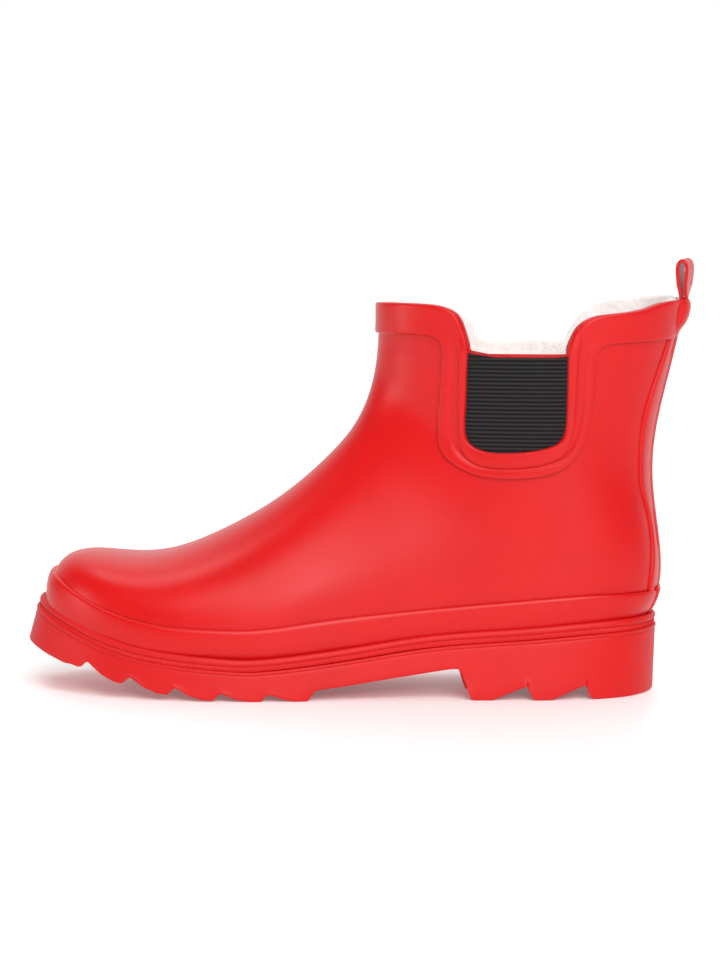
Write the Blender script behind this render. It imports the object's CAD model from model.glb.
import math

import bpy
import bmesh
import numpy as np
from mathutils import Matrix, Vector, noise
from mathutils.bvhtree import BVHTree


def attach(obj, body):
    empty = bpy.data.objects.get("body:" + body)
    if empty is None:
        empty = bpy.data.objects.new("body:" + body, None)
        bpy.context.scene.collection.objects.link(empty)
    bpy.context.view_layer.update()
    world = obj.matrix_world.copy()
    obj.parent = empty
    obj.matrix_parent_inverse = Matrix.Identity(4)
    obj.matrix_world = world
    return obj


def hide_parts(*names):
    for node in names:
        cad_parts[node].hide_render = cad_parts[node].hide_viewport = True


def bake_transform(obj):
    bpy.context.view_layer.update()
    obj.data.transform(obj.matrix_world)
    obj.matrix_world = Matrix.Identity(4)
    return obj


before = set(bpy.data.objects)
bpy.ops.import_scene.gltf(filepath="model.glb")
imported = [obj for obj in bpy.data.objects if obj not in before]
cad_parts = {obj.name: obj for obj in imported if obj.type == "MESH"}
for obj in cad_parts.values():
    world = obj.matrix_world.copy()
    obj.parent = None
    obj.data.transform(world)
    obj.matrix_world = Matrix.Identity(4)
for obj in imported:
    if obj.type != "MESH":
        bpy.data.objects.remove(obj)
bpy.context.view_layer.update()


# ---------------------------------------------------------------- upper
# One moulded skin of red natural rubber, 2 mm thick, dipped on a wooden last and vulcanised.
# It is closed under the foot and smooth all over, with only faint unevenness from the mould.

# The last, in millimetres: X from toe (-) to heel (+), Y from the outer side (-) to the inner side (+), Z up.
# One row per section, fanned from the toe tip round the instep to the collar:
# top x, top z, bottom x, bottom z, middle y, outer half width, inner half width, belly height,
# roundness of the top and of the sole.
LAST = np.array([
    (-133.9, 44.0, -133.9, 38.2, 6.0, 7.0, 7.5, 0.50, 2.2, 2.2),
    (-133.1, 49.4, -133.1, 31.3, 6.0, 14.5, 15.0, 0.50, 2.3, 2.4),
    (-130.0, 55.9, -130.0, 24.4, 6.0, 22.5, 23.0, 0.50, 2.5, 2.6),
    (-122.9, 60.3, -122.9, 18.6, 5.5, 30.5, 30.5, 0.48, 2.6, 2.8),
    (-111.0, 61.4, -111.0, 13.7, 4.5, 38.5, 37.0, 0.46, 2.6, 3.0),
    (-94.0, 60.5, -94.0, 9.3, 3.0, 45.0, 42.5, 0.44, 2.5, 3.0),
    (-74.0, 63.6, -74.0, 5.9, 2.0, 48.5, 43.5, 0.41, 2.3, 3.0),
    (-50.0, 74.1, -47.0, 3.9, 1.0, 48.5, 41.0, 0.36, 2.1, 3.0),
    (-27.0, 88.1, -15.0, 4.9, 0.0, 45.0, 36.5, 0.32, 2.1, 3.0),
    (-7.6, 104.7, 22.0, 10.8, 0.0, 41.0, 34.0, 0.30, 2.1, 2.9),
    (4.8, 118.9, 67.0, 14.7, 0.0, 38.5, 34.5, 0.30, 2.1, 2.8),
    (11.3, 131.6, 112.0, 16.6, 0.0, 37.0, 35.0, 0.32, 2.1, 2.7),
    (14.5, 142.6, 138.5, 37.2, 0.0, 36.0, 35.0, 0.34, 2.1, 2.6),
    (16.0, 152.5, 143.5, 61.6, 0.0, 36.0, 35.5, 0.38, 2.2, 2.5),
    (16.6, 161.4, 140.0, 91.0, 0.0, 36.5, 36.0, 0.42, 2.2, 2.4),
    (16.7, 170.2, 140.6, 116.4, 0.0, 37.5, 37.0, 0.46, 2.3, 2.4),
    (16.7, 179.0, 145.5, 139.9, 0.0, 38.5, 38.0, 0.48, 2.3, 2.3),
    (16.7, 187.8, 150.8, 162.3, 0.0, 39.5, 39.0, 0.50, 2.3, 2.3),
    (16.7, 197.6, 155.2, 185.8, 0.0, 40.0, 39.5, 0.50, 2.3, 2.3),
    (16.7, 209.3, 159.0, 209.3, 0.0, 40.5, 40.0, 0.50, 2.3, 2.3),
])
CENTRE = np.array([7.3, -1.0, 0.0])   # this point of the drawing is the boot's own origin


def curve_through(points, at):
    """Smooth curve through points numbered 0, 1, 2 ... read at fractional numbers."""
    points = np.asarray(points, float)
    flat = points.reshape(len(points), -1)
    count = len(flat)
    system = np.eye(count)
    right = np.zeros_like(flat)
    for i in range(1, count - 1):
        system[i, i - 1:i + 2] = (1, 4, 1)
        right[i] = 6 * (flat[i - 1] - 2 * flat[i] + flat[i + 1])
    bend = np.linalg.solve(system, right)
    at = np.asarray(at, float)
    low = np.clip(at.astype(int), 0, count - 2)
    b = (at - low)[:, None]
    a = 1 - b
    flat_out = (a * flat[low] + b * flat[low + 1]
                + ((a ** 3 - a) * bend[low] + (b ** 3 - b) * bend[low + 1]) / 6)
    return flat_out.reshape((len(at),) + points.shape[1:])


def last_rings(offset, turns):
    """Section rings of all rows at the angles in turns (0 outer side, 90 top, 180 inner side, 270 bottom)."""
    rings = []
    for i, row in enumerate(LAST):
        before, after = LAST[max(i - 1, 0)], LAST[min(i + 1, len(LAST) - 1)]
        step = after - before
        up = np.array([-step[1], step[0]]) / math.hypot(step[0], step[1])
        down = np.array([step[3], -step[2]]) / math.hypot(step[2], step[3])
        top, bottom = row[0:2] + offset * up, row[2:4] + offset * down
        run = math.hypot(step[0] + step[2], step[1] + step[3]) / 2
        c, s = np.cos(turns), np.sin(turns)
        wide = np.where(c > 0, row[5] + offset / math.hypot(1, step[5] / run),
                        row[6] + offset / math.hypot(1, step[6] / run))
        power = np.where(s > 0, row[8], row[9])
        reach = (np.abs(c) ** power + np.abs(s) ** power) ** (1 / power)
        rise = row[7] + np.where(s > 0, 1 - row[7], row[7]) * s / reach
        side = bottom + (top - bottom) * rise[:, None]
        rings.append(np.stack([side[:, 0], row[4] - wide * c / reach, side[:, 1]], 1))
    return np.array(rings)


def side_line(points):
    """Height of a line drawn on the side view, as a function of x."""
    dense = curve_through(points, np.linspace(0, len(points) - 1, 600))
    return lambda x: np.interp(x, dense[:, 0], dense[:, 1])


# height of the flat floor that the foot stands on
seat = side_line([(-150, 39.2), (-122, 27.9), (-88, 18), (-50, 13.7), (-28, 13.6), (8, 18), (45, 23.6),
                  (84, 26.6), (120, 29.3), (160, 30.2)])
# the mouth seen from the side, front and rear of the gore, for the outer and the inner side
MOUTH_FRONT = [(20, 177), (30, 177.2), (38, 177.2), (44.3, 176.6), (49.8, 175), (53.5, 172.3), (56.2, 168),
               (58.2, 161.0), (58.8, 155.3)]
MOUTH_REAR = [(102.5, 155.3), (103.1, 159.2), (105, 164), (108.6, 168.5), (114.4, 171.8), (121, 173),
              (130.7, 173.9), (138.5, 175.3), (145, 177.5), (152, 178)]
INNER_FRONT = [(17, 174.8), (25, 174.8), (32, 174.4), (41.8, 173.1), (50.4, 170.3), (55.4, 166.4),
               (58.8, 161.6), (60.6, 157.6), (60.9, 155.9)]
INNER_REAR = [(102.5, 155.9), (103.6, 159.2), (106, 163.4), (109.8, 168.2), (114.2, 171.6), (121, 174.4),
              (130.7, 175.8), (138.5, 176.4), (145, 177.2), (152, 178)]


def mouth_edge(points):
    return curve_through(points, np.linspace(0, len(points) - 1, 200))


outer_mouth = np.vstack([[(-200, 177)], mouth_edge(MOUTH_FRONT), mouth_edge(MOUTH_REAR), [(200, 178)]])
inner_mouth = np.vstack([[(-200, 174.8)], mouth_edge(INNER_FRONT), mouth_edge(INNER_REAR), [(200, 178)]])


def mouth(x, y):
    """Height of the boot's mouth; it passes over from the outer to the inner line at the front and back."""
    share = np.clip(y / 40 + 0.5, 0, 1)
    share = share * share * (3 - 2 * share)
    return (np.interp(x, outer_mouth[:, 0], outer_mouth[:, 1]) * (1 - share)
            + np.interp(x, inner_mouth[:, 0], inner_mouth[:, 1]) * share)


def grid_faces(rows, columns, wrap=True):
    """Four-sided faces over a grid of points; wrap joins the last column to the first."""
    faces = []
    for i in range(rows - 1):
        for j in range(columns if wrap else columns - 1):
            k = (j + 1) % columns
            faces.append((i * columns + j, i * columns + k, (i + 1) * columns + k, (i + 1) * columns + j))
    return faces


def make_piece(name, points, faces, body="boot"):
    """Mesh piece from drawing points in millimetres, moved to the boot's origin, with faces looking out."""
    mesh = bpy.data.meshes.new(name)
    mesh.from_pydata(((np.asarray(points) - CENTRE) / 1000).tolist(), [], faces)
    work = bmesh.new()
    work.from_mesh(mesh)
    bmesh.ops.remove_doubles(work, verts=work.verts, dist=0.00001)
    bmesh.ops.recalc_face_normals(work, faces=work.faces)
    for face in work.faces:
        face.smooth = True
    work.to_mesh(mesh)
    work.free()
    piece = bpy.data.objects.new(name, mesh)
    bpy.context.scene.collection.objects.link(piece)
    if body:
        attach(piece, body)
    return piece


FAN = 168                       # points round each section
ROWS = 132                      # sections from toe to collar
turns = np.linspace(0, 2 * math.pi, FAN, endpoint=False) - math.pi / 2
fan_rows = np.linspace(0, 19, 760)


def trimmed_skin(offset, floor):
    """Skin at an offset from the last, cut along the mouth line and flattened on the floor line."""
    dense = curve_through(last_rings(offset, turns), fan_rows)
    over = dense[:, :, 2] - mouth(dense[:, :, 0], dense[:, :, 1])
    skin = np.zeros((ROWS, FAN, 3))
    for j in range(FAN):
        stop = 200 + int(np.argmax(over[200:, j] > 0))
        share = over[stop - 1, j] / (over[stop - 1, j] - over[stop, j])
        end = fan_rows[stop - 1] + share * (fan_rows[stop] - fan_rows[stop - 1])
        low = np.linspace(0, 10, 80)
        read = np.concatenate([low, np.linspace(10, end, ROWS - 79)[1:]])
        for axis in range(3):
            skin[:, j, axis] = np.interp(read, fan_rows, dense[:, j, axis])
    skin[:, :, 2] = np.maximum(skin[:, :, 2], seat(skin[:, :, 0]) + floor)
    return skin


def double_skin(name, outside, inside, rim):
    """Closed bag of two skins, joined by rim rows at the mouth and closed at the toe tip."""
    layers = np.vstack([outside] + [row[None] for row in rim] + [inside[::-1]])
    count = len(layers)
    points = layers.reshape(-1, 3)
    faces = grid_faces(count, FAN)
    faces.append(tuple(range(FAN)))
    faces.append(tuple(reversed(range((count - 1) * FAN, count * FAN))))
    return make_piece(name, points, faces)


def lumps(points, size, height, seed):
    """Smooth random unevenness: one height for every point, from waves about size mm long."""
    shift = Vector((seed * 17.3, seed * 5.1, seed * 9.7))
    return np.array([noise.noise(Vector(p) / size + shift) for p in points]) * height


def add_node(material, kind, settings=(), links=()):
    """One shader node with its settings and its incoming links."""
    tree = material.node_tree
    node = tree.nodes.new(kind)
    for key, value in dict(settings).items():
        if isinstance(key, str) and hasattr(node, key):
            setattr(node, key, value)
        else:
            node.inputs[key].default_value = value
    for socket, source in dict(links).items():
        tree.links.new(source, node.inputs[socket])
    return node


def hex_colour(code):
    """sRGB hex colour to linear RGBA."""
    parts = [int(code[i:i + 2], 16) / 255 for i in (1, 3, 5)]
    return tuple(v / 12.92 if v <= 0.04045 else ((v + 0.055) / 1.055) ** 2.4 for v in parts) + (1.0,)


def new_material(name):
    material = bpy.data.materials.new(name)
    material.use_nodes = True
    material.node_tree.nodes.clear()
    return material


def moulded_rubber(name, light, dark, roughness, cloud_mm, grain_mm, grain_depth):
    """Vulcanised rubber: slow clouds of colour, a fine even grain and a satin skin."""
    material = new_material(name)
    place = add_node(material, "ShaderNodeTexCoord").outputs["Object"]
    clouds = add_node(material, "ShaderNodeTexNoise",
                      {"Scale": 1000 / cloud_mm, "Detail": 3.0, "Roughness": 0.55}, {"Vector": place})
    tint = add_node(material, "ShaderNodeValToRGB", links={"Fac": clouds.outputs["Fac"]})
    tint.color_ramp.elements[0].position = 0.32
    tint.color_ramp.elements[0].color = hex_colour(dark)
    tint.color_ramp.elements[1].position = 0.68
    tint.color_ramp.elements[1].color = hex_colour(light)
    skin = add_node(material, "ShaderNodeMapRange",
                    {"To Min": roughness - 0.035, "To Max": roughness + 0.045},
                    {"Value": clouds.outputs["Fac"]})
    grain = add_node(material, "ShaderNodeTexNoise", {"Scale": 1000 / grain_mm, "Detail": 2.0},
                     {"Vector": place})
    bump = add_node(material, "ShaderNodeBump", {"Strength": 0.35, "Distance": grain_depth / 1000},
                    {"Height": grain.outputs["Fac"]})
    surface = add_node(material, "ShaderNodeBsdfPrincipled", {"IOR": 1.5, "Specular IOR Level": 0.32},
                       {"Base Color": tint.outputs["Color"], "Roughness": skin.outputs["Result"],
                        "Normal": bump.outputs["Normal"]})
    add_node(material, "ShaderNodeOutputMaterial", links={"Surface": surface.outputs["BSDF"]})
    return material


def dress(piece, material):
    piece.data.materials.clear()
    piece.data.materials.append(material)


# vulcanised natural rubber, moulded satin: saturated warm red with soft wide highlights
satin_rubber = moulded_rubber("vulcanised_rubber_satin", "#D00F11", "#C90D0F", 0.34, 45, 1.6, 0.05)

outside = trimmed_skin(0.0, 0.15)
inside = trimmed_skin(-1.9, 1.0)
outside[:, :, 1] += lumps(outside.reshape(-1, 3), 42, 0.35, 1).reshape(ROWS, FAN) * np.sign(outside[:, :, 1])
rim = outside[-1] * 0.5 + inside[-1] * 0.5
upper = double_skin("upper_shell_skin", outside, inside, [rim])
dress(upper, satin_rubber)
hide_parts("upper_shell")


# ---------------------------------------------------------------- measuring the shaft
# The strips above the foot are laid on the finished skin, so each needs points on it.
# Radii of three skins are read once from an upright axis inside the shaft, by turn and height.
AXIS_X = 79.0
SHEETS = (-5.5, 0.0, 3.0)
table_turns = np.radians(np.arange(-180, 181, 2.0))
table_heights = np.arange(26.0, 196.0, 1.5)


def skin_tree(offset):
    around = np.linspace(0, 2 * math.pi, 240, endpoint=False) - math.pi / 2
    grid = curve_through(last_rings(offset, around), np.linspace(0, 19, 420))
    points = [Vector(p) for p in grid.reshape(-1, 3)]
    return BVHTree.FromPolygons(points, grid_faces(420, 240) + [tuple(range(240))])


skin_trees = {offset: skin_tree(offset) for offset in SHEETS}
radii = {}
for offset, tree in skin_trees.items():
    table = np.zeros((len(table_heights), len(table_turns)))
    for i, z in enumerate(table_heights):
        for j, turn in enumerate(table_turns):
            hit = tree.ray_cast(Vector((AXIS_X, 0.0, z)), Vector((math.cos(turn), math.sin(turn), 0.0)))[0]
            table[i, j] = math.hypot(hit[0] - AXIS_X, hit[1]) if hit else np.nan
    radii[offset] = table


def table_read(table, turn, z):
    """Value of a radius table between its entries."""
    u = np.clip((turn - table_turns[0]) / (table_turns[1] - table_turns[0]), 0, len(table_turns) - 1.0001)
    v = np.clip((z - table_heights[0]) / 1.5, 0, len(table_heights) - 1.0001)
    i, j = v.astype(int), u.astype(int)
    a, b = v - i, u - j
    return ((1 - a) * (1 - b) * table[i, j] + (1 - a) * b * table[i, j + 1]
            + a * (1 - b) * table[i + 1, j] + a * b * table[i + 1, j + 1])


def on_shaft(turn, z, lift):
    """Point at a turn and height, lifted off the rubber's outer face by lift."""
    turn, z, lift = (np.asarray(v, float) for v in np.broadcast_arrays(turn, z, lift))
    inner, skin, proud = (table_read(radii[offset], turn, z) for offset in SHEETS)
    radius = np.where(lift < 0, skin + (skin - inner) * lift / 5.5, skin + (proud - skin) * lift / 3.0)
    return np.stack([AXIS_X + radius * np.cos(turn), radius * np.sin(turn), z], -1)


def turn_at(x, z, side):
    """Turn of the skin point that shows at (x, z) in the side view; side is -1 outer, 1 inner."""
    found = []
    sweep = np.radians(np.arange(0, 181, 1.0))
    for xx, zz in zip(np.ravel(x), np.ravel(z)):
        line = on_shaft(sweep * side, np.full(len(sweep), zz), 0.0)[:, 0]
        found.append(np.interp(-xx, -line, sweep) * side)
    return np.reshape(found, np.shape(x))


def walk(points, spacing):
    """Points resampled at even steps along their line."""
    points = np.asarray(points, float)
    run = np.concatenate([[0], np.cumsum(np.linalg.norm(np.diff(points, axis=0), axis=1))])
    at = np.linspace(0, run[-1], max(int(run[-1] / spacing), 2) + 1)
    return np.stack([np.interp(at, run, points[:, k]) for k in range(points.shape[1])], 1)


# ---------------------------------------------------------------- lining
# A sewn sock of cream polyester fleece, about 3.5 mm thick, glued to the inside of the rubber.
# Its pile is short and slightly matted, and it shows all round the boot's mouth.
def pile_fabric(name, light, dark):
    """Short matted pile: cream fibres in small tufts, with a soft sheen at grazing angles."""
    material = new_material(name)
    place = add_node(material, "ShaderNodeTexCoord").outputs["Object"]
    tufts = add_node(material, "ShaderNodeTexNoise", {"Scale": 1000 / 2.2, "Detail": 5.0, "Roughness": 0.7},
                     {"Vector": place})
    matting = add_node(material, "ShaderNodeTexNoise", {"Scale": 1000 / 14.0, "Detail": 2.0},
                       {"Vector": place})
    mixed = add_node(material, "ShaderNodeMath", {"operation": "MULTIPLY"},
                     {0: tufts.outputs["Fac"], 1: matting.outputs["Fac"]})
    tint = add_node(material, "ShaderNodeValToRGB", links={"Fac": mixed.outputs["Value"]})
    tint.color_ramp.elements[0].position = 0.12
    tint.color_ramp.elements[0].color = hex_colour(dark)
    tint.color_ramp.elements[1].position = 0.36
    tint.color_ramp.elements[1].color = hex_colour(light)
    bump = add_node(material, "ShaderNodeBump", {"Strength": 0.7, "Distance": 0.0008},
                    {"Height": tufts.outputs["Fac"]})
    surface = add_node(material, "ShaderNodeBsdfPrincipled",
                       {"Roughness": 0.95, "IOR": 1.45, "Sheen Weight": 0.5, "Sheen Roughness": 0.5,
                        "Specular IOR Level": 0.2},
                       {"Base Color": tint.outputs["Color"], "Normal": bump.outputs["Normal"]})
    add_node(material, "ShaderNodeOutputMaterial", links={"Surface": surface.outputs["BSDF"]})
    return material


# polyester fleece, brushed: warm white, dull, with a faint pink cast from the red rubber round it
cream_fleece = pile_fabric("polyester_fleece_brushed", "#FDF7F4", "#EEE3DF")

sock_outside = trimmed_skin(-2.1, 2.2)
sock_inside = trimmed_skin(-5.3, 3.3)
flat_inside = sock_inside.reshape(-1, 3)
inward = (sock_inside - trimmed_skin(-6.3, 3.3)).reshape(-1, 3)
flat_inside -= inward * (lumps(flat_inside, 2.6, 0.35, 4) + lumps(flat_inside, 9.0, 0.35, 5))[:, None]
lip = []
for share, rise in ((0.12, 0.9), (0.38, 1.4), (0.7, 1.3), (0.93, 0.6)):
    row = sock_outside[-1] * (1 - share) + sock_inside[-1] * share
    slope = (mouth(row[:, 0] + 0.2, row[:, 1]) - mouth(row[:, 0] - 0.2, row[:, 1])) / 0.4
    slope[np.abs(row[:, 0] - 80) < 21.5] = 0
    inner_side = np.clip(row[:, 1] / 20 + 0.5, 0.1, 1)
    height = (rise * inner_side + lumps(row, 3.0, 0.3, 6) * inner_side) / np.hypot(1, slope)
    row[:, 0] -= height * slope
    row[:, 2] += height
    lip.append(row)
lining = double_skin("lining_fleece", sock_outside, sock_inside, lip)
dress(lining, cream_fleece)
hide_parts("lining")


# ---------------------------------------------------------------- elastic gores
# Woven elastic, 45 mm wide, with covered rubber ribs running fore and aft about every 1.8 mm.
# Each is glued behind a U-shaped window in the rubber and ends at a folded red tape on top.
GORE_BOTTOM, GORE_TOP = 110.8, 154.1
# the window's outline, down its rear edge, forward along the bottom and up its front edge
WINDOW = [(102.5, 154.0), (102.4, 149.0), (102.3, 143.7), (102.1, 132.5), (101.7, 123.5), (100.9, 119.1),
          (99.3, 116.2), (96.5, 114.3), (92.0, 112.8), (86.4, 111.6), (79.7, 111.0), (73.0, 110.8),
          (66.9, 111.3), (62.5, 112.7), (59.3, 114.9), (58.0, 117.6), (57.5, 121.5), (57.6, 126.7),
          (58.1, 137.9), (58.4, 149.1), (58.6, 154.0)]
LOWEST = 11                           # the window's lowest point
RIB = 1.84


def window_edges(z, grow):
    """Front and rear x of the gore window at height z, larger all round by grow."""
    rear, front = np.array(WINDOW[LOWEST::-1]), np.array(WINDOW[LOWEST:])
    return (np.interp(z + grow, front[:, 1], front[:, 0]) - grow,
            np.interp(z + grow, rear[:, 1], rear[:, 0]) + grow)


def woven_elastic(name, rib_code, groove_code):
    """Ribbed black elastic: matte covering threads crossing each rib, and dark grooves between."""
    material = new_material(name)
    place = add_node(material, "ShaderNodeTexCoord").outputs["Object"]
    # covering threads are 0.3 mm apart on the real tape; they are drawn at 0.6 mm so that they show
    threads = add_node(material, "ShaderNodeTexWave", {"Scale": 314 / 0.6, "Distortion": 1.2,
                       "Detail": 2.0, "Detail Scale": 3.0, "bands_direction": "X"}, {"Vector": place})
    ribs = add_node(material, "ShaderNodeTexWave", {"Scale": 314.16 / RIB, "Phase Offset": 1.571,
                    "bands_direction": "Z"}, {"Vector": place})
    mixed = add_node(material, "ShaderNodeMath", {"operation": "MULTIPLY_ADD", 1: 0.25},
                     {0: threads.outputs["Fac"], 2: ribs.outputs["Fac"]})
    tint = add_node(material, "ShaderNodeValToRGB", links={"Fac": mixed.outputs["Value"]})
    tint.color_ramp.elements[0].color = hex_colour(groove_code)
    tint.color_ramp.elements[1].position = 1.0
    tint.color_ramp.elements[1].color = hex_colour(rib_code)
    bump = add_node(material, "ShaderNodeBump", {"Strength": 0.3, "Distance": 0.00006},
                    {"Height": threads.outputs["Fac"]})
    surface = add_node(material, "ShaderNodeBsdfPrincipled",
                       {"Roughness": 0.85, "IOR": 1.5, "Sheen Weight": 0.04, "Specular IOR Level": 0.2},
                       {"Base Color": tint.outputs["Color"], "Normal": bump.outputs["Normal"]})
    add_node(material, "ShaderNodeOutputMaterial", links={"Surface": surface.outputs["BSDF"]})
    return material


# polyester-covered elastic webbing, woven: near-black with a dry, slightly brown bloom
black_elastic = woven_elastic("elastic_webbing_woven", "#2E2B2D", "#080708")


def closed_slab(front, back):
    """Points and faces of a slab from two equal grids of points."""
    rows, columns = front.shape[:2]
    count = rows * columns
    points = np.vstack([front.reshape(-1, 3), back.reshape(-1, 3)])
    near = grid_faces(rows, columns, wrap=False)
    faces = near + [tuple(k + count for k in reversed(face)) for face in near]
    border = [(0, j) for j in range(columns)]
    border += [(i, columns - 1) for i in range(1, rows)]
    border += [(rows - 1, j) for j in range(columns - 2, -1, -1)]
    border += [(i, 0) for i in range(rows - 2, 0, -1)]
    ring = [i * columns + j for i, j in border]
    for a, b in zip(ring, ring[1:] + ring[:1]):
        faces.append((b, a, a + count, b + count))
    return points, faces


def gore_sag(x, side):
    """The gore's top edge and its upper ribs rise at the front corner, and a little at the rear one."""
    pull = 2.1 if side < 0 else 0.8
    return pull * np.clip((74 - x) / 16, 0, 1) ** 1.6 + 0.5 * np.clip((x - 94) / 9, 0, 1) ** 2


def gore(side, name, node):
    rows = np.arange(GORE_BOTTOM - 0.9, GORE_TOP + 0.01, RIB / 8)
    across = np.linspace(0, 1, 56)
    left, right = window_edges(rows, 1.0)
    x = left[:, None] + (right - left)[:, None] * across
    high = ((rows - rows[0]) / (rows[-1] - rows[0]))[:, None] ** 12
    z = rows[:, None] + gore_sag(x, side) * high
    turn = np.array([turn_at(x[i], z[i], side) for i in range(len(rows))])
    phase = np.repeat(((GORE_TOP - rows) / RIB)[:, None], len(across), 1)
    ribs = np.abs(np.sin(math.pi * phase)) ** 0.6
    wave = lumps(np.stack([x, z * 3, z * 0], -1).reshape(-1, 3), 6.0, 0.10, 11).reshape(x.shape)
    lift = 0.15 + 0.85 * ribs + wave
    front = on_shaft(turn, z, lift)
    back = on_shaft(turn, z, np.full(z.shape, -1.4))
    piece = make_piece(name, *closed_slab(front, back))
    dress(piece, black_elastic)
    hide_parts(node)
    return piece


gore(-1, "gore_lateral_elastic", "gore_lateral")
gore(1, "gore_medial_elastic", "gore_medial")


# ---------------------------------------------------------------- gore edging
# A narrow red polyester tape folded over the top of each gore and its lining, sewn flat.
# It is what one sees as a thin red line above the black elastic.
tape_red = moulded_rubber("polyester_tape_red", "#B9181B", "#9A1215", 0.72, 8, 0.7, 0.12)


def edging(side, name, node):
    x = np.linspace(58.0, 103.1, 60)
    turn = turn_at(x, np.full(len(x), GORE_TOP), side)
    section = [(-1.2, -0.8), (0.8, -0.35), (1.1, -0.15), (1.2, 0.15), (1.0, 0.45), (0.4, 0.62), (-1.0, 0.68),
               (-2.6, 0.62), (-3.6, 0.4), (-3.7, 0.0), (-3.3, -1.0)]
    top = GORE_TOP + gore_sag(x, side)
    rows = [on_shaft(turn, top + rise, np.full(len(x), lift)) for lift, rise in section]
    grid = np.array(rows).transpose(1, 0, 2)
    count = len(section)
    faces = grid_faces(len(x), count) + [tuple(reversed(range(count))),
                                         tuple(range((len(x) - 1) * count, len(x) * count))]
    piece = make_piece(name, grid.reshape(-1, 3), faces)
    dress(piece, tape_red)
    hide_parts(node)


edging(-1, "gore_edging_lateral_tape", "gore_edging_lateral")
edging(1, "gore_edging_medial_tape", "gore_edging_medial")


# ---------------------------------------------------------------- collar band
# A second layer of rubber, 1.3 mm thick, rolled on round the mouth and down round both gores.
# It folds over the cut edge, is flat along the collar, and has a low ridge and a groove round each gore.
# Its outer edge runs from the back, down round the gore and up to the front, in three lengths.
BAND_REAR = [(149.6, 160.9), (146.2, 160.7), (139.5, 160.5), (130.7, 160.2), (123.5, 159.9), (119.0, 159.2),
             (116.2, 157.7)]
BAND_ROUND = [(114.8, 155.3), (114.2, 151.5), (114.1, 143.7), (113.6, 134.8), (112.8, 128.1), (111.5, 121.2),
              (109.4, 114.6), (106.9, 110.1), (104.3, 106.6), (101.0, 103.9), (96.5, 101.8), (90.9, 100.3),
              (84.3, 99.3), (76.4, 98.9), (69.7, 99.2), (64.1, 100.1), (58.5, 102.0), (53.0, 105.0),
              (49.0, 108.1), (46.8, 111.5), (45.8, 115.4), (45.7, 121.0), (45.8, 126.6), (46.2, 132.2),
              (46.6, 137.8), (47.1, 143.4), (47.5, 149.0), (47.8, 154.0)]
BAND_FRONT = [(47.7, 158.0), (46.6, 160.9), (44.6, 162.4), (41.7, 163.0), (35.0, 163.2), (28.3, 163.1),
              (22.5, 162.8)]


def paired(mouth_side, outer_side, spacing):
    """Two lines resampled together at even steps: x, z of the mouth side and x, z of the outer side."""
    fine = 0.2
    lines = [walk(curve_through(line, np.linspace(0, len(line) - 1, 300)), fine)
             for line in (mouth_side, outer_side)]
    count = int(max(len(line) for line in lines) * fine / spacing) + 2
    share = np.linspace(0, 1, count)
    return np.stack([np.interp(share, np.linspace(0, 1, len(line)), line[:, axis])
                     for line in lines for axis in (0, 1)], 1)


def band_path(side, spacing=1.5):
    """Mouth edge and outer edge of the band on one side as (turn, height), back to front."""
    rear, front = (MOUTH_REAR, MOUTH_FRONT) if side < 0 else (INNER_REAR, INNER_FRONT)
    middle = np.vstack([paired(rear[:1:-1], BAND_REAR, spacing)[:-1],
                        paired(rear[1::-1] + WINDOW[1:-1] + front[:-3:-1], BAND_ROUND, spacing),
                        paired(front[-3:0:-1], BAND_FRONT, spacing)[1:]])
    for _ in range(3):                       # the joints of the three lengths are eased
        middle[1:-1] = (middle[:-2] + 2 * middle[1:-1] + middle[2:]) / 4
    mouth_turn = turn_at(middle[:, 0], middle[:, 1], side)
    outer_turn = turn_at(middle[:, 2], middle[:, 3], side)
    edge = np.stack([mouth_turn, middle[:, 1], outer_turn, middle[:, 3]], 1)
    share_back = np.linspace(0, 1, 18)[:-1, None]
    share_front = np.linspace(0, 1, 30)[1:, None]
    behind = np.array([0.0, 0.0, 0.0, 161.0])
    ahead = np.array([math.pi * side, 0.0, math.pi * side, 162.5])
    back = behind + (edge[0] - behind) * share_back
    front = edge[-1] + (ahead - edge[-1]) * share_front
    for part in (back, front):               # across back and front the band follows the mouth itself
        place = on_shaft(part[:, 0], np.full(len(part), 176.0), np.zeros(len(part)))
        part[:, 1] = mouth(place[:, 0], place[:, 1])
    return np.vstack([back, edge, front])


def strip_grid(path, profile):
    """Grid of points: along the path, across by profile pairs (share from outer edge to mouth edge, lift)."""
    rows = []
    for share, lift in profile:
        turn = path[:, 2] + (path[:, 0] - path[:, 2]) * share
        z = path[:, 3] + (path[:, 1] - path[:, 3]) * share
        rows.append(on_shaft(turn, z, np.broadcast_to(lift, turn.shape)))
    return np.array(rows).transpose(1, 0, 2)


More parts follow.
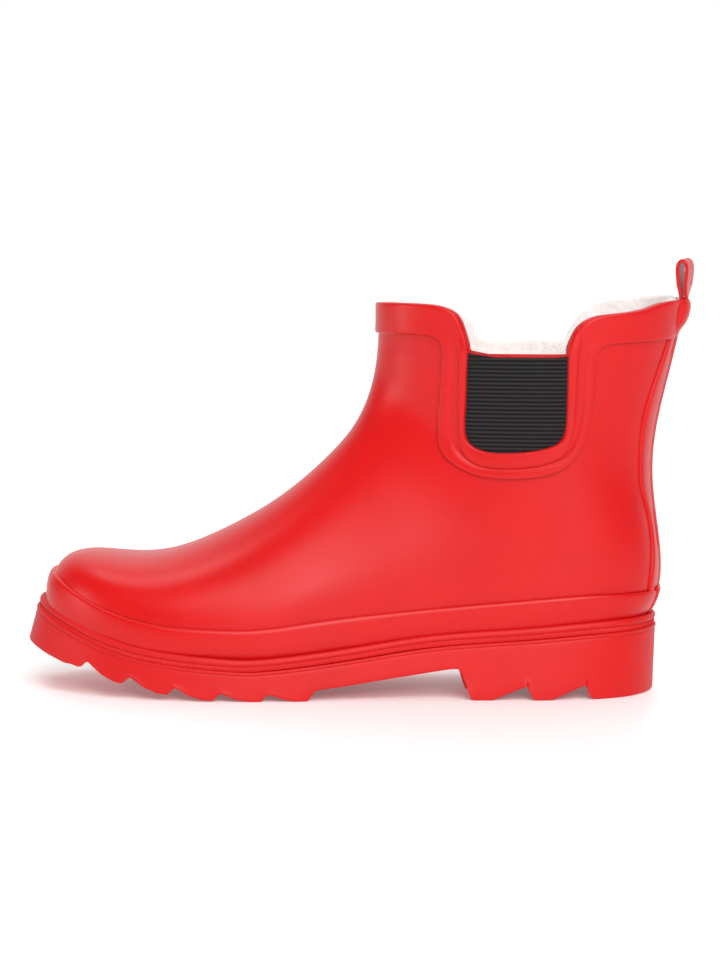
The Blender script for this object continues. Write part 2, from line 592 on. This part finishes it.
lateral_path = band_path(-1)
medial_path = band_path(1)
loop_path = np.vstack([lateral_path, medial_path[::-1][1:-1]])
heights = loop_path[:, 1]
beside_gore = np.clip((170.0 - heights) / 10.0, 0, 1)        # 1 round the gores, 0 along the collar
beside_gore = beside_gore * beside_gore * (3 - 2 * beside_gore)
over_edge = np.clip((heights - 155.5) / 3.0, 0, 1)            # 1 where the band folds over a free edge
band_profile = [
    (0.0, -0.3), (-0.002, 0.6), (0.0, 1.1), (0.015, 1.38), (0.045, 1.52), (0.1, 1.55 + 0.1 * beside_gore),
    (0.2, 1.48 + 0.2 * beside_gore), (0.29, 1.42 + 0.1 * beside_gore), (0.35, 1.4 - 0.2 * beside_gore),
    (0.41, 1.4 - 0.5 * beside_gore), (0.47, 1.4 - 0.6 * beside_gore), (0.56, 1.4 - 0.4 * beside_gore),
    (0.7, 1.4), (0.85, 1.4), (0.93, 1.38), (0.965, 1.25), (0.99, 0.9), (1.0, 0.45), (1.0, -0.3),
    (1.0, -0.6 - 1.2 * over_edge), (0.975, -0.7 - 1.35 * over_edge), (0.93, -0.7 - 1.35 * over_edge),
    (0.9, -0.6),
]
band_grid = strip_grid(loop_path, band_profile)
across = len(band_profile)
seam_row = (len(loop_path) - 1) * across
band_faces = grid_faces(len(loop_path), across)
band_faces += [(seam_row + j, seam_row + (j + 1) % across, (j + 1) % across, j) for j in range(across)]
band = make_piece("collar_band_strip", band_grid.reshape(-1, 3), band_faces)
dress(band, satin_rubber)
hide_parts("collar_band")


# ---------------------------------------------------------------- gore trims
# A flat frame of the same rubber, pressed onto the band round each gore, 5 mm wide and 7 mm at its bottom.
# Its inner edge is rolled down to the elastic and its ends thin out into the collar.
def gore_trim(side, name, node):
    path = lateral_path if side < 0 else medial_path
    low = path[:, 1] < 167.5
    first, last = np.argmax(low), len(low) - np.argmax(low[::-1])
    path = path[first:last].copy()
    run = np.concatenate([[0], np.cumsum(np.hypot(np.diff(path[:, 1]), np.diff(path[:, 0]) * 60))])
    ends = np.minimum(run, run[-1] - run)
    fade = np.clip(ends / 12.0, 0, 1)
    fade = fade * fade * (3 - 2 * fade)
    # share of the band's width that the trim takes
    edges = [on_shaft(path[:, k], path[:, k + 1], 0.0) for k in (0, 2)]
    width = np.linalg.norm(edges[0] - edges[1], axis=1)
    start = 1 - (4.9 + 2.5 * np.clip((122 - path[:, 1]) / 10, 0, 1)) / width
    profile = [(0.0, 0.5), (0.0, 0.8), (0.03, 0.95 + 0.4 * fade), (0.1, 1.05 + 0.85 * fade),
               (0.2, 1.1 + 1.15 * fade), (0.33, 1.15 + 1.3 * fade), (0.5, 1.15 + 1.25 * fade),
               (0.7, 1.15 + 1.15 * fade), (0.86, 1.1 + 1.15 * fade), (0.93, 1.05 + 1.15 * fade),
               (0.98, 0.95 + 0.9 * fade), (1.005, 0.7 + 0.4 * fade), (1.01, 0.0), (1.0, -0.5), (0.9, -0.4),
               (0.5, 0.5)]
    rows = []
    for share, lift in profile:
        part = start + (1 - start) * share
        turn = path[:, 2] + (path[:, 0] - path[:, 2]) * part
        z = path[:, 3] + (path[:, 1] - path[:, 3]) * part
        rows.append(on_shaft(turn, z, np.broadcast_to(lift, turn.shape)))
    grid = np.array(rows).transpose(1, 0, 2)
    count = len(profile)
    faces = grid_faces(len(path), count) + [tuple(reversed(range(count))),
                                            tuple(range((len(path) - 1) * count, len(path) * count))]
    piece = make_piece(name, grid.reshape(-1, 3), faces)
    dress(piece, satin_rubber)
    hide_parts(node)


gore_trim(-1, "gore_trim_lateral_frame", "gore_trim_lateral")
gore_trim(1, "gore_trim_medial_frame", "gore_trim_medial")


# ---------------------------------------------------------------- back stay
# A strip of rubber over the back seam, from the foxing to the collar band, wide at the ankle.
# Its middle is raised a little more, and all its edges are thin and pressed down.
STAY_EDGE = [(148.5, 163.5), (146.6, 156.5), (143.3, 146.7), (138.7, 133), (135.9, 120.3), (135.1, 107.6),
             (135.7, 93.9), (138.8, 82.2), (141, 66.5), (140.4, 54.8), (139.2, 45)]


def back_stay():
    line = walk(curve_through(STAY_EDGE, np.linspace(0, len(STAY_EDGE) - 1, 400)), 1.5)
    outer, inner = turn_at(line[:, 0], line[:, 1], -1), turn_at(line[:, 0], line[:, 1], 1)
    half = (np.abs(outer) + np.abs(inner)) / 2
    reach = table_read(radii[0.0], np.zeros(len(line)), line[:, 1])
    ridge = 5.2 / reach / half
    columns = [(-1.0, -0.3), (-1.002, 0.35), (-0.995, 0.85), (-0.965, 1.15), (-0.9, 1.25), (-0.75, 1.2),
               (-0.6, 1.15), (-0.45, 1.12)]
    raised = [(-1.28, 1.15), (-1.1, 1.25), (-0.98, 1.6), (-0.84, 1.9), (-0.5, 2.0), (0.0, 2.05)]
    rows = []
    for share, lift in columns:
        rows.append((half * share, lift))
    for share, lift in raised:
        rows.append((half * ridge * share, lift))
    for share, lift in raised[-2::-1]:
        rows.append((-half * ridge * share, lift))
    for share, lift in columns[::-1]:
        rows.append((-half * share, lift))
    front = np.stack([on_shaft(turn, line[:, 1], lift) for turn, lift in rows], 1)
    back = np.stack([on_shaft(turn, line[:, 1], -0.5) for turn, _ in rows], 1)
    piece = make_piece("back_stay_strip", *closed_slab(front, back))
    dress(piece, satin_rubber)
    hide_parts("back_stay")


back_stay()


# ---------------------------------------------------------------- outline of the sole
# The sole is wider than the foot, nearly straight on its inner side and rounded at toe and heel.
# Its walls close in slightly and lean towards the heel as they rise.
SOLE_OUTER = [(-143.6, 6), (-138.5, -14), (-127.5, -27), (-112, -38), (-92, -46.2), (-67, -51), (-42, -51.8),
              (-12, -48.8), (18, -44.4), (53, -41.8), (88, -40.6), (113, -36.8), (133.5, -25.5)]
SOLE_INNER = [(143.3, 0), (133.5, 25.5), (113, 35.8), (88, 38), (53, 37.4), (23, 37.6), (-7, 40.2),
              (-37, 45.8), (-62, 49.8), (-87, 49.8), (-107.5, 47.2), (-123.5, 40.6), (-136.6, 28.8)]
OUTLINE_Z, SOLE_DRAFT, SOLE_LEAN = 25.0, 0.10, 0.148
sole_keys = SOLE_OUTER + SOLE_INNER
around_keys = np.array(sole_keys * 3)
outline = curve_through(around_keys, np.linspace(len(sole_keys), 2 * len(sole_keys), 4001)[:-1])
ahead_of, behind_of = np.roll(outline, -1, 0), np.roll(outline, 1, 0)
outline_out = np.stack([(ahead_of - behind_of)[:, 1], -(ahead_of - behind_of)[:, 0]], 1)
outline_out /= np.linalg.norm(outline_out, axis=1)[:, None]
if np.mean(np.sum(outline_out * (outline - outline.mean(0)), axis=1)) < 0:
    outline_out = -outline_out
outline_run = np.concatenate([[0], np.cumsum(np.linalg.norm(np.diff(outline, axis=0), axis=1))])


def on_outline(place):
    """Plan point and outward direction at fractional places of the outline."""
    place = np.asarray(place, float)
    low = np.floor(place).astype(int)
    share = (place - low)[:, None]
    high = (low + 1) % len(outline)
    low = low % len(outline)
    return (outline[low] * (1 - share) + outline[high] * share,
            outline_out[low] * (1 - share) + outline_out[high] * share)


def sole_edge(place, inset, z):
    """Point of the sole's wall at an outline place, moved in by inset, at height z."""
    plan, out = on_outline(place)
    moved = inset + SOLE_DRAFT * (z - OUTLINE_Z)
    plan = plan - out * np.reshape(moved, (-1, 1))
    x = plan[:, 0] + SOLE_LEAN * (z - OUTLINE_Z)
    return np.stack([x, plan[:, 1], np.broadcast_to(z, x.shape)], 1)


def even_places(count):
    """Outline places at even steps round the sole."""
    steps = np.linspace(0, outline_run[-1], count, endpoint=False)
    return np.interp(steps, outline_run, np.arange(len(outline)))


# ---------------------------------------------------------------- welt
# A ring of rubber between foxing and outsole: a rounded bead above a narrow band of upright knurls.
# The knurls are pressed by a wheel while the rubber is soft, about 1.15 mm apart.
KNURL = 1.15
sole_rubber = moulded_rubber("vulcanised_rubber_matte", "#D01213", "#C90F11", 0.50, 38, 1.1, 0.06)


def welt():
    count = int(outline_run[-1] / KNURL) * 4
    place = even_places(count)
    knurl = np.tile([0.0, 0.32, 0.32, 0.0], count // 4)
    base = seat(on_outline(place)[0][:, 0] + 2.0)
    profile = [(4.0, -0.2, 0), (1.2, -0.1, 0), (1.15, 0.15, 0.4), (1.1, 0.45, 1), (1.1, 1.9, 1),
               (1.2, 2.15, 0.3), (1.35, 2.3, 0), (1.05, 2.5, 0), (0.7, 2.85, 0), (0.52, 3.4, 0),
               (0.5, 4.0, 0), (0.68, 4.6, 0),
               (1.05, 5.1, 0), (1.6, 5.4, 0), (2.2, 5.42, 0), (2.9, 5.1, 0), (3.6, 4.5, 0), (6.0, 3.8, 0)]
    rings = [sole_edge(place, inset - knurl * ribbed, base + rise) for inset, rise, ribbed in profile]
    grid = np.array(rings)
    faces = grid_faces(len(profile), count)
    last_row = (len(profile) - 1) * count
    faces += [(last_row + j, last_row + (j + 1) % count, (j + 1) % count, j) for j in range(count)]
    piece = make_piece("welt_bead", grid.reshape(-1, 3), faces)
    dress(piece, sole_rubber)
    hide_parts("welt")


welt()


# ---------------------------------------------------------------- foxing
# A strip of rubber 2.2 mm thick, wrapped round the foot over the joint of upper and sole.
# Its top edge is rounded and follows a wavy line; its lower edge goes down behind the welt.
foxing_top = side_line([(-150, 68.5), (-134, 56.2), (-125, 49.2), (-112, 42.3), (-97, 37), (-78, 33.2),
                        (-58, 32), (-38, 31.9), (-18, 34.2), (8, 37.6), (47, 41.5), (78, 44.3), (104, 46.4),
                        (124, 46.9),
                        (160, 46.4)])


def wrap_place(place, share, lift, raise_top=0.0):
    """Points on the foot's skin: share 0 at the seat, 1 at the foxing's top edge, lifted by lift."""
    out = []
    for start, push in zip(*on_outline(place)):
        x = start[0]
        for _ in range(4):
            low, high = seat(x) + 0.6, foxing_top(x) + raise_top
            z = low + (high - low) * share
            origin = Vector((start[0] + push[0] * 30, start[1] + push[1] * 30, z))
            heading = Vector((-push[0], -push[1], 0.0))
            skin = skin_trees[0.0].ray_cast(origin, heading)[0]
            if skin is None:
                break
            x = skin[0]
        proud = skin_trees[3.0].ray_cast(origin, heading)[0]
        out.append(skin + (proud - skin) * (lift / 3.0))
    return np.array(out)


FOXING_SECTION = [(0.0, -0.4), (0.0, 1.5), (0.12, 2.0), (0.3, 2.15), (0.45, 2.2), (0.6, 2.25), (0.72, 2.25),
                  (0.83, 2.2), (0.9, 2.1), (0.94, 1.95), (0.965, 1.7), (0.985, 1.3),
                  (0.995, 0.8), (0.995, 0.2), (0.98, -0.4)]


def foxing():
    count = 460
    place = even_places(count)
    rings = [wrap_place(place, share, lift) for share, lift in FOXING_SECTION]
    for ring in rings:                       # even out the reading of the skin
        ring[:] = (np.roll(ring, 1, 0) + 2 * ring + np.roll(ring, -1, 0)) / 4
    faces = grid_faces(len(rings), count)
    last_row = (len(rings) - 1) * count
    faces += [(last_row + j, last_row + (j + 1) % count, (j + 1) % count, j) for j in range(count)]
    piece = make_piece("foxing_strip", np.array(rings).reshape(-1, 3), faces)
    dress(piece, satin_rubber)
    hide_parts("foxing")


foxing()


# ---------------------------------------------------------------- heel tab of the foxing
# A short second layer over the foxing's joint at the back of the heel, 19 mm wide.
# It is pressed on while soft, so its ends are thin and its face is rounded.
def heel_tab():
    middle = int(np.argmax(outline[:, 0]))
    offsets = np.linspace(-9.5, 9.5, 41)
    local = outline_run[middle] + offsets
    place = np.interp(local, outline_run, np.arange(len(outline)))
    ends = np.clip((9.5 - np.abs(offsets)) / 2.2, 0, 1) ** 0.5
    levels = [(0.24, 2.1), (0.27, 2.9), (0.34, 3.15), (0.5, 3.25), (0.68, 3.25), (0.84, 3.2), (0.93, 3.05),
              (0.98, 2.7), (1.0, 2.1)]
    skin, rise = 2.1, 0.8                # thickness of the foxing below, and how far the tab stands above it
    front = np.array([[wrap_place([k], share, skin + (lift - skin) * end, rise)[0]
                       for k, end in zip(place, ends)] for share, lift in levels])
    back = np.array([wrap_place(place, share, 1.0, rise) for share, _ in levels])
    piece = make_piece("foxing_heel_tab_patch", *closed_slab(front, back))
    dress(piece, satin_rubber)
    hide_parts("foxing_heel_tab")


heel_tab()


# ---------------------------------------------------------------- outsole
# One block of harder rubber: toe spring, five saw-tooth lugs, a plain arch and a broken heel block.
# A thin lip runs along the top of its wall, under the welt.
LUG_CORNERS = [-116.5, -96.4, -75.6, -54.9, -33.6]
LUG_DEPTH = 3.3
TOE_SPRING = 233.0


def spring(x):
    return max(-40.0 - x, 0.0) ** 2 / (2 * TOE_SPRING)


tread_line = [(-150, 27), (-148, 26), (-145.6, 21), (-141.7, 19.9), (-133, 16.7), (-124, 13.8)]
for corner in LUG_CORNERS:
    tread_line += [(corner - 4.5, spring(corner - 3.5)), (corner, spring(corner)),
                   (corner + 3.3, spring(corner) + LUG_DEPTH), (corner + 10, spring(corner + 10) + 1.0)]
tread_line += [(-18.5, 0), (-12.7, 0), (-9.2, 4.8), (3.3, 6.4), (51, 13.9), (55.2, 14), (60.6, 0), (69.5, 0),
               (85.4, 6.4), (88.4, 0), (96.4, 0), (111.6, 6.6), (114.3, 0), (130, 0), (141.7, 0.5),
               (150, 1.5)]
tread_line = np.array(tread_line)


def tread(x):
    """Height of the underside, with its corners rounded by half a millimetre."""
    steps = np.array([-0.5, -0.25, 0.0, 0.25, 0.5])
    return np.mean([np.interp(x + step, tread_line[:, 0], tread_line[:, 1]) for step in steps], axis=0)


def sole_stations():
    """X of the cross-sections: even ones, more at each tread corner, and closer towards both tips."""
    front, rear = outline[:, 0].min(), outline[:, 0].max()
    stations = list(np.arange(front + 16, rear - 16, 1.5))
    for x in tread_line[:, 0]:
        if front + 16 < x < rear - 16:
            stations += [x - 0.8, x - 0.4, x, x + 0.4, x + 0.8]
    ease = (np.arange(0, 26) / 25.0) ** 2 * 16
    stations += list(front + ease) + list(rear - ease)
    stations = sorted(stations)
    kept = [stations[0]]
    for x in stations[1:]:
        if x - kept[-1] > 0.02:
            kept.append(x)
    return np.array(kept)


def outline_places(stations):
    """Outline indices on the outer and the inner side at each station."""
    front, rear = int(np.argmin(outline[:, 0])), int(np.argmax(outline[:, 0]))
    order = np.arange(front, front + len(outline)) % len(outline)
    first = order[:list(order).index(rear) + 1]
    second = np.concatenate([order[list(order).index(rear):], [front]])
    if outline[first, 1].mean() > outline[second, 1].mean():
        first, second = second[::-1], first[::-1]
    else:
        second = second[::-1]
    sides = []
    for branch in (first, second):
        unrolled = np.unwrap(branch * (2 * math.pi / len(outline))) * len(outline) / (2 * math.pi)
        sides.append(np.interp(stations, outline[branch, 0], unrolled) % len(outline))
    return sides


def outsole():
    stations = sole_stations()
    outer, inner = outline_places(stations)
    top = seat(stations)
    ground = tread(stations)
    wall = [(7.0, -1.2), (7.0, 0.0), (0.55, 0.0), (0.12, -0.12), (0.0, -0.4), (0.0, -0.95), (0.1, -1.25),
            (0.5, -1.5), (0.55, -1.75), (0.35, -2.1), (0.3, -2.6)]
    columns = []
    for side in (outer, inner):
        half = [sole_edge(side, inset, top + rise) for inset, rise in wall]
        for share in (0.2, 0.4, 0.6, 0.8):
            level = (top - 2.6) * (1 - share) + (ground + 0.9) * share
            half.append(sole_edge(side, 0.3 - 0.3 * share, level))
        half.append(sole_edge(side, 0.0, ground + 0.9))
        half.append(sole_edge(side, 0.08, ground + 0.4))
        half.append(sole_edge(side, 0.3, ground + 0.1))
        half.append(sole_edge(side, 0.75, ground))
        columns.append(half)
    for half in columns:        # the underside's height belongs to where the point really is
        for level in half[-4:]:
            level[:, 2] += tread(level[:, 0]) - ground
    under = []
    for share in np.linspace(0, 1, 15)[1:-1]:
        level = columns[0][-1] * (1 - share) + columns[1][-1] * share
        level[:, 2] = tread(level[:, 0])
        under.append(level)
    rows = columns[0] + under + columns[1][::-1]
    grid = np.array(rows).transpose(1, 0, 2)
    count = len(rows)
    faces = grid_faces(len(stations), count)
    piece = make_piece("outsole_block", grid.reshape(-1, 3), faces)
    dress(piece, sole_rubber)
    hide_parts("outsole")


outsole()


# ---------------------------------------------------------------- pull loop
# A strip of rubberised webbing, 14 mm wide and 1.5 mm thick, bent double into a tall narrow eye.
# Both ends go down into the patch at the back of the collar, and the loop stands up, slightly turned.
HINGE_X, HINGE_Z = 155.2, 177.6
LOOP_LINE = [(-0.9, -6.0), (-1.0, -3.0), (-1.1, 0.0), (-1.2, 3.0), (-1.45, 6.0), (-1.8, 9.5), (-2.1, 12.5),
             (-2.05, 15.0), (-1.4, 17.0), (0.0, 17.85), (1.4, 17.0), (2.1, 15.0), (2.15, 12.5), (1.95, 9.5),
             (1.6, 6.0), (1.25, 3.0), (1.1, 0.0), (1.0, -3.0), (0.9, -6.0)]


def pull_loop():
    line = walk(curve_through(LOOP_LINE, np.linspace(0, len(LOOP_LINE) - 1, 400)), 0.4)
    along = np.gradient(line, axis=0)
    along /= np.linalg.norm(along, axis=1)[:, None]
    out = np.stack([-along[:, 1], along[:, 0]], 1)
    section = []
    half, thick = 7.0, 0.82
    for y, t in ((-1, 0), (-0.99, 0.55), (-0.95, 0.9), (-0.88, 1.0), (-0.8, 0.9), (-0.72, 0.88), (0, 0.92),
                 (0.72, 0.88), (0.8, 0.9), (0.88, 1.0), (0.95, 0.9), (0.99, 0.55), (1, 0)):
        section.append((y * half, t * thick))
    section += [(y, -t) for y, t in section[-2:0:-1]]
    rows = []
    for y, t in section:
        x = line[:, 0] + out[:, 0] * t
        z = line[:, 1] + out[:, 1] * t
        twist = math.radians(-13.0) * np.clip((z + 1) / 8.0, 0, 1)
        rows.append(np.stack([HINGE_X + x * np.cos(twist) - y * np.sin(twist) + z * 0.02,
                              x * np.sin(twist) + y * np.cos(twist), HINGE_Z + z], 1))
    grid = np.array(rows).transpose(1, 0, 2)
    count = len(section)
    faces = grid_faces(len(line), count) + [tuple(reversed(range(count))),
                                            tuple(range((len(line) - 1) * count, len(line) * count))]
    piece = make_piece("pull_loop_strap", grid.reshape(-1, 3), faces, body=None)
    dress(piece, satin_rubber)
    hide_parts("pull_loop")
    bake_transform(piece)


pull_loop()


# ---------------------------------------------------------------- loop patch
# A tongue of rubber moulded over the ends of the loop, thick at the collar and thin at its lower end.
# Its lower end stands a little clear of the band.
def loop_patch():
    levels = [(178.0, 0.2), (178.3, 2.2), (177.8, 3.8), (176.2, 4.7), (174.1, 5.1), (172.1, 5.15), (170.2, 5),
              (168.2, 4.6), (166.6, 4), (165.2, 3.2), (164.1, 2.5), (163.1, 2.25), (162.3, 2.15),
              (161.8, 1.9), (161.5, 1.3)]
    spread = np.linspace(-1, 1, 37)
    bulge = (1 - np.abs(spread) ** 3.2)
    front, back = [], []
    for z, lift in levels:
        half = 11.0 - 1.6 * np.clip((168 - z) / 7, 0, 1)
        reach = table_read(radii[0.0], np.zeros(1), np.full(1, z))[0]
        turn = spread * half / reach
        front.append(on_shaft(turn, np.full(len(turn), z), 1.1 + (lift - 1.1) * bulge ** 0.6))
        back.append(on_shaft(turn, np.full(len(turn), min(z, 177.2)), np.full(len(turn), 0.4)))
    piece = make_piece("loop_patch_tongue", *closed_slab(np.array(front), np.array(back)))
    dress(piece, satin_rubber)
    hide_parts("loop_patch")


loop_patch()


# ---------------------------------------------------------------- insole
# A loose foam footbed, 4.5 mm thick, covered with the same fleece as the lining.
# Its edge is turned up slightly and its heel is cupped.
def insole():
    stations = np.concatenate([-124.4 + 12 * (np.arange(0, 12) / 12.0) ** 2, np.arange(-112, 112, 2.5),
                               131.2 - 19 * (np.arange(16, -1, -1) / 16.0) ** 2])
    tree = skin_tree(-6.7)
    spread = np.sin(np.linspace(-1, 1, 33) * math.pi / 2)
    top, under = [], []
    for x in stations:
        z = float(seat(x)) + 5.8
        sides = []
        for heading in (-1.0, 1.0):
            hit = tree.ray_cast(Vector((x, 0.0, z)), Vector((0.0, heading, 0.0)))[0]
            sides.append(hit[1] if hit else 0.2 * heading)
        y = (sides[0] + sides[1]) / 2 + spread * (sides[1] - sides[0]) / 2
        edge = np.abs(spread)
        rim = 0.9 * edge ** 6 - 0.5 * (1 - edge ** 2)
        floor_z = np.full(33, float(seat(x)))
        top.append(np.stack([np.full(33, x), y, floor_z + 8.0 + rim - 1.6 * edge ** 40], 1))
        under.append(np.stack([np.full(33, x), y * 0.985, floor_z + 3.7 + 0.9 * edge ** 30], 1))
    top, under = np.array(top), np.array(under)
    top[:, :, 2] += lumps(top.reshape(-1, 3), 3.0, 0.2, 8).reshape(top.shape[:2])
    piece = make_piece("insole_footbed", *closed_slab(top, under), body="insole")
    dress(piece, cream_fleece)
    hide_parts("insole")


insole()


# ---------------------------------------------------------------- hidden parts
# Stiffeners, boards and fillers that are closed in between rubber and lining.
# Their frame solids stay and only get the finish of the real stuff.
def plain_stuff(name, light, dark, roughness, grain_mm, metal=0.0):
    """Board, felt, foam or steel: two tones in a grain of the given size."""
    material = new_material(name)
    place = add_node(material, "ShaderNodeTexCoord").outputs["Object"]
    grain = add_node(material, "ShaderNodeTexNoise", {"Scale": 1000 / grain_mm, "Detail": 4.0},
                     {"Vector": place})
    tint = add_node(material, "ShaderNodeValToRGB", links={"Fac": grain.outputs["Fac"]})
    tint.color_ramp.elements[0].position = 0.35
    tint.color_ramp.elements[0].color = hex_colour(dark)
    tint.color_ramp.elements[1].position = 0.65
    tint.color_ramp.elements[1].color = hex_colour(light)
    bump = add_node(material, "ShaderNodeBump", {"Strength": 0.4, "Distance": 0.0002},
                    {"Height": grain.outputs["Fac"]})
    surface = add_node(material, "ShaderNodeBsdfPrincipled", {"Roughness": roughness, "Metallic": metal},
                       {"Base Color": tint.outputs["Color"], "Normal": bump.outputs["Normal"]})
    add_node(material, "ShaderNodeOutputMaterial", links={"Surface": surface.outputs["BSDF"]})
    return material


fibre_board = plain_stuff("cellulose_board_pressed", "#B4946C", "#94754F", 0.85, 1.2)
stiff_felt = plain_stuff("thermoplastic_stiffener_felted", "#D8D2C6", "#B9B2A5", 0.8, 2.0)
core_foam = plain_stuff("eva_foam_cut", "#6C6C6E", "#58585B", 0.9, 0.9)
shank_steel = plain_stuff("spring_steel_rolled", "#A9A9AB", "#8C8C90", 0.35, 4.0, metal=1.0)
for node, material in (("insole_board", fibre_board), ("toe_puff", stiff_felt), ("heel_counter", stiff_felt),
                       ("heel_core", core_foam), ("midsole_filler", core_foam), ("shank", shank_steel)):
    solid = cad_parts[node]
    solid.data.materials.clear()
    solid.data.materials.append(material)


# ---------------------------------------------------------------- studio
# White floor, white behind and dim in front, lit by two wide skies and three soft lamps for the highlights.
# The camera stands level with the ankle, almost square to the boot's outer side.
def floor():
    reach = 60.0
    mesh = bpy.data.meshes.new("floor")
    corners = [(-reach, -reach, 0), (reach, -reach, 0), (reach, reach, 0), (-reach, reach, 0)]
    mesh.from_pydata(corners, [], [(0, 1, 2, 3)])
    sheet = bpy.data.objects.new("floor", mesh)
    bpy.context.scene.collection.objects.link(sheet)
    paper = new_material("studio_paper")
    place = add_node(paper, "ShaderNodeTexCoord").outputs["Object"]
    fibre = add_node(paper, "ShaderNodeTexNoise", {"Scale": 400.0, "Detail": 2.0}, {"Vector": place})
    tint = add_node(paper, "ShaderNodeValToRGB", links={"Fac": fibre.outputs["Fac"]})
    tint.color_ramp.elements[0].color = hex_colour("#F7F7F7")
    tint.color_ramp.elements[1].color = hex_colour("#FCFCFC")
    # lit from below as on a light table, so that it stays white far behind the boot
    surface = add_node(paper, "ShaderNodeBsdfPrincipled", {"Roughness": 0.45, "Emission Strength": 0.14},
                       {"Base Color": tint.outputs["Color"], "Emission Color": tint.outputs["Color"]})
    add_node(paper, "ShaderNodeOutputMaterial", links={"Surface": surface.outputs["BSDF"]})
    mesh.materials.append(paper)


floor()


def lamp(name, size, power, place, aim=(0.0, 0.0, 0.08)):
    light = bpy.data.lights.new(name, "AREA")
    light.shape = "RECTANGLE"
    light.size, light.size_y = size
    light.energy = power
    stand = bpy.data.objects.new(name, light)
    stand.location = place
    stand.rotation_euler = (Vector(aim) - Vector(place)).to_track_quat("-Z", "Y").to_euler()
    bpy.context.scene.collection.objects.link(stand)


def sky(name, strength, spread, place):
    """A wide soft source far away, which lights the whole floor evenly."""
    light = bpy.data.lights.new(name, "SUN")
    light.energy = strength
    light.angle = math.radians(spread)
    stand = bpy.data.objects.new(name, light)
    stand.rotation_euler = (-Vector(place)).to_track_quat("-Z", "Y").to_euler()
    bpy.context.scene.collection.objects.link(stand)


sky("sky_front", 2.3, 45, (0.22, -0.75, 0.7))
sky("sky_above", 0.6, 70, (0.1, 0.35, 1.0))
lamp("lamp_left", (0.28, 0.5), 2.4, (-1.3, -0.35, 0.2))
lamp("lamp_front", (0.26, 0.18), 4.5, (0.3, -1.5, 0.55))
lamp("lamp_top", (0.4, 0.2), 1.2, (-0.45, 0.1, 1.1))

world = bpy.data.worlds.new("studio")
bpy.context.scene.world = world
world.use_nodes = True
world.node_tree.nodes.clear()
heading = add_node(world, "ShaderNodeTexCoord").outputs["Generated"]
behind = add_node(world, "ShaderNodeSeparateXYZ", links={"Vector": heading}).outputs["Y"]
dome = add_node(world, "ShaderNodeValToRGB", links={"Fac": behind})
dome.color_ramp.elements[0].position = 0.25
dome.color_ramp.elements[0].color = (0.16, 0.16, 0.16, 1)
dome.color_ramp.elements[1].position = 0.75
dome.color_ramp.elements[1].color = (1, 1, 1, 1)
glow = add_node(world, "ShaderNodeBackground", {"Strength": 1.0}, {"Color": dome.outputs["Color"]})
add_node(world, "ShaderNodeOutputWorld", links={"Surface": glow.outputs["Background"]})

bpy.context.scene.view_settings.view_transform = "Standard"

camera = bpy.data.cameras.new("camera")
camera.lens = 155.9
camera.sensor_width = 36
tripod = bpy.data.objects.new("camera", camera)
aim = Vector((0.0009, 0.0010, 0.0946))
turn, rise, distance = math.radians(3.0), math.radians(6.0), 1.9
tripod.location = aim + distance * Vector((math.sin(turn) * math.cos(rise), -math.cos(turn) * math.cos(rise),
                                           math.sin(rise)))
tripod.rotation_euler = (aim - tripod.location).to_track_quat("-Z", "Y").to_euler()
bpy.context.scene.collection.objects.link(tripod)
bpy.context.scene.camera = tripod
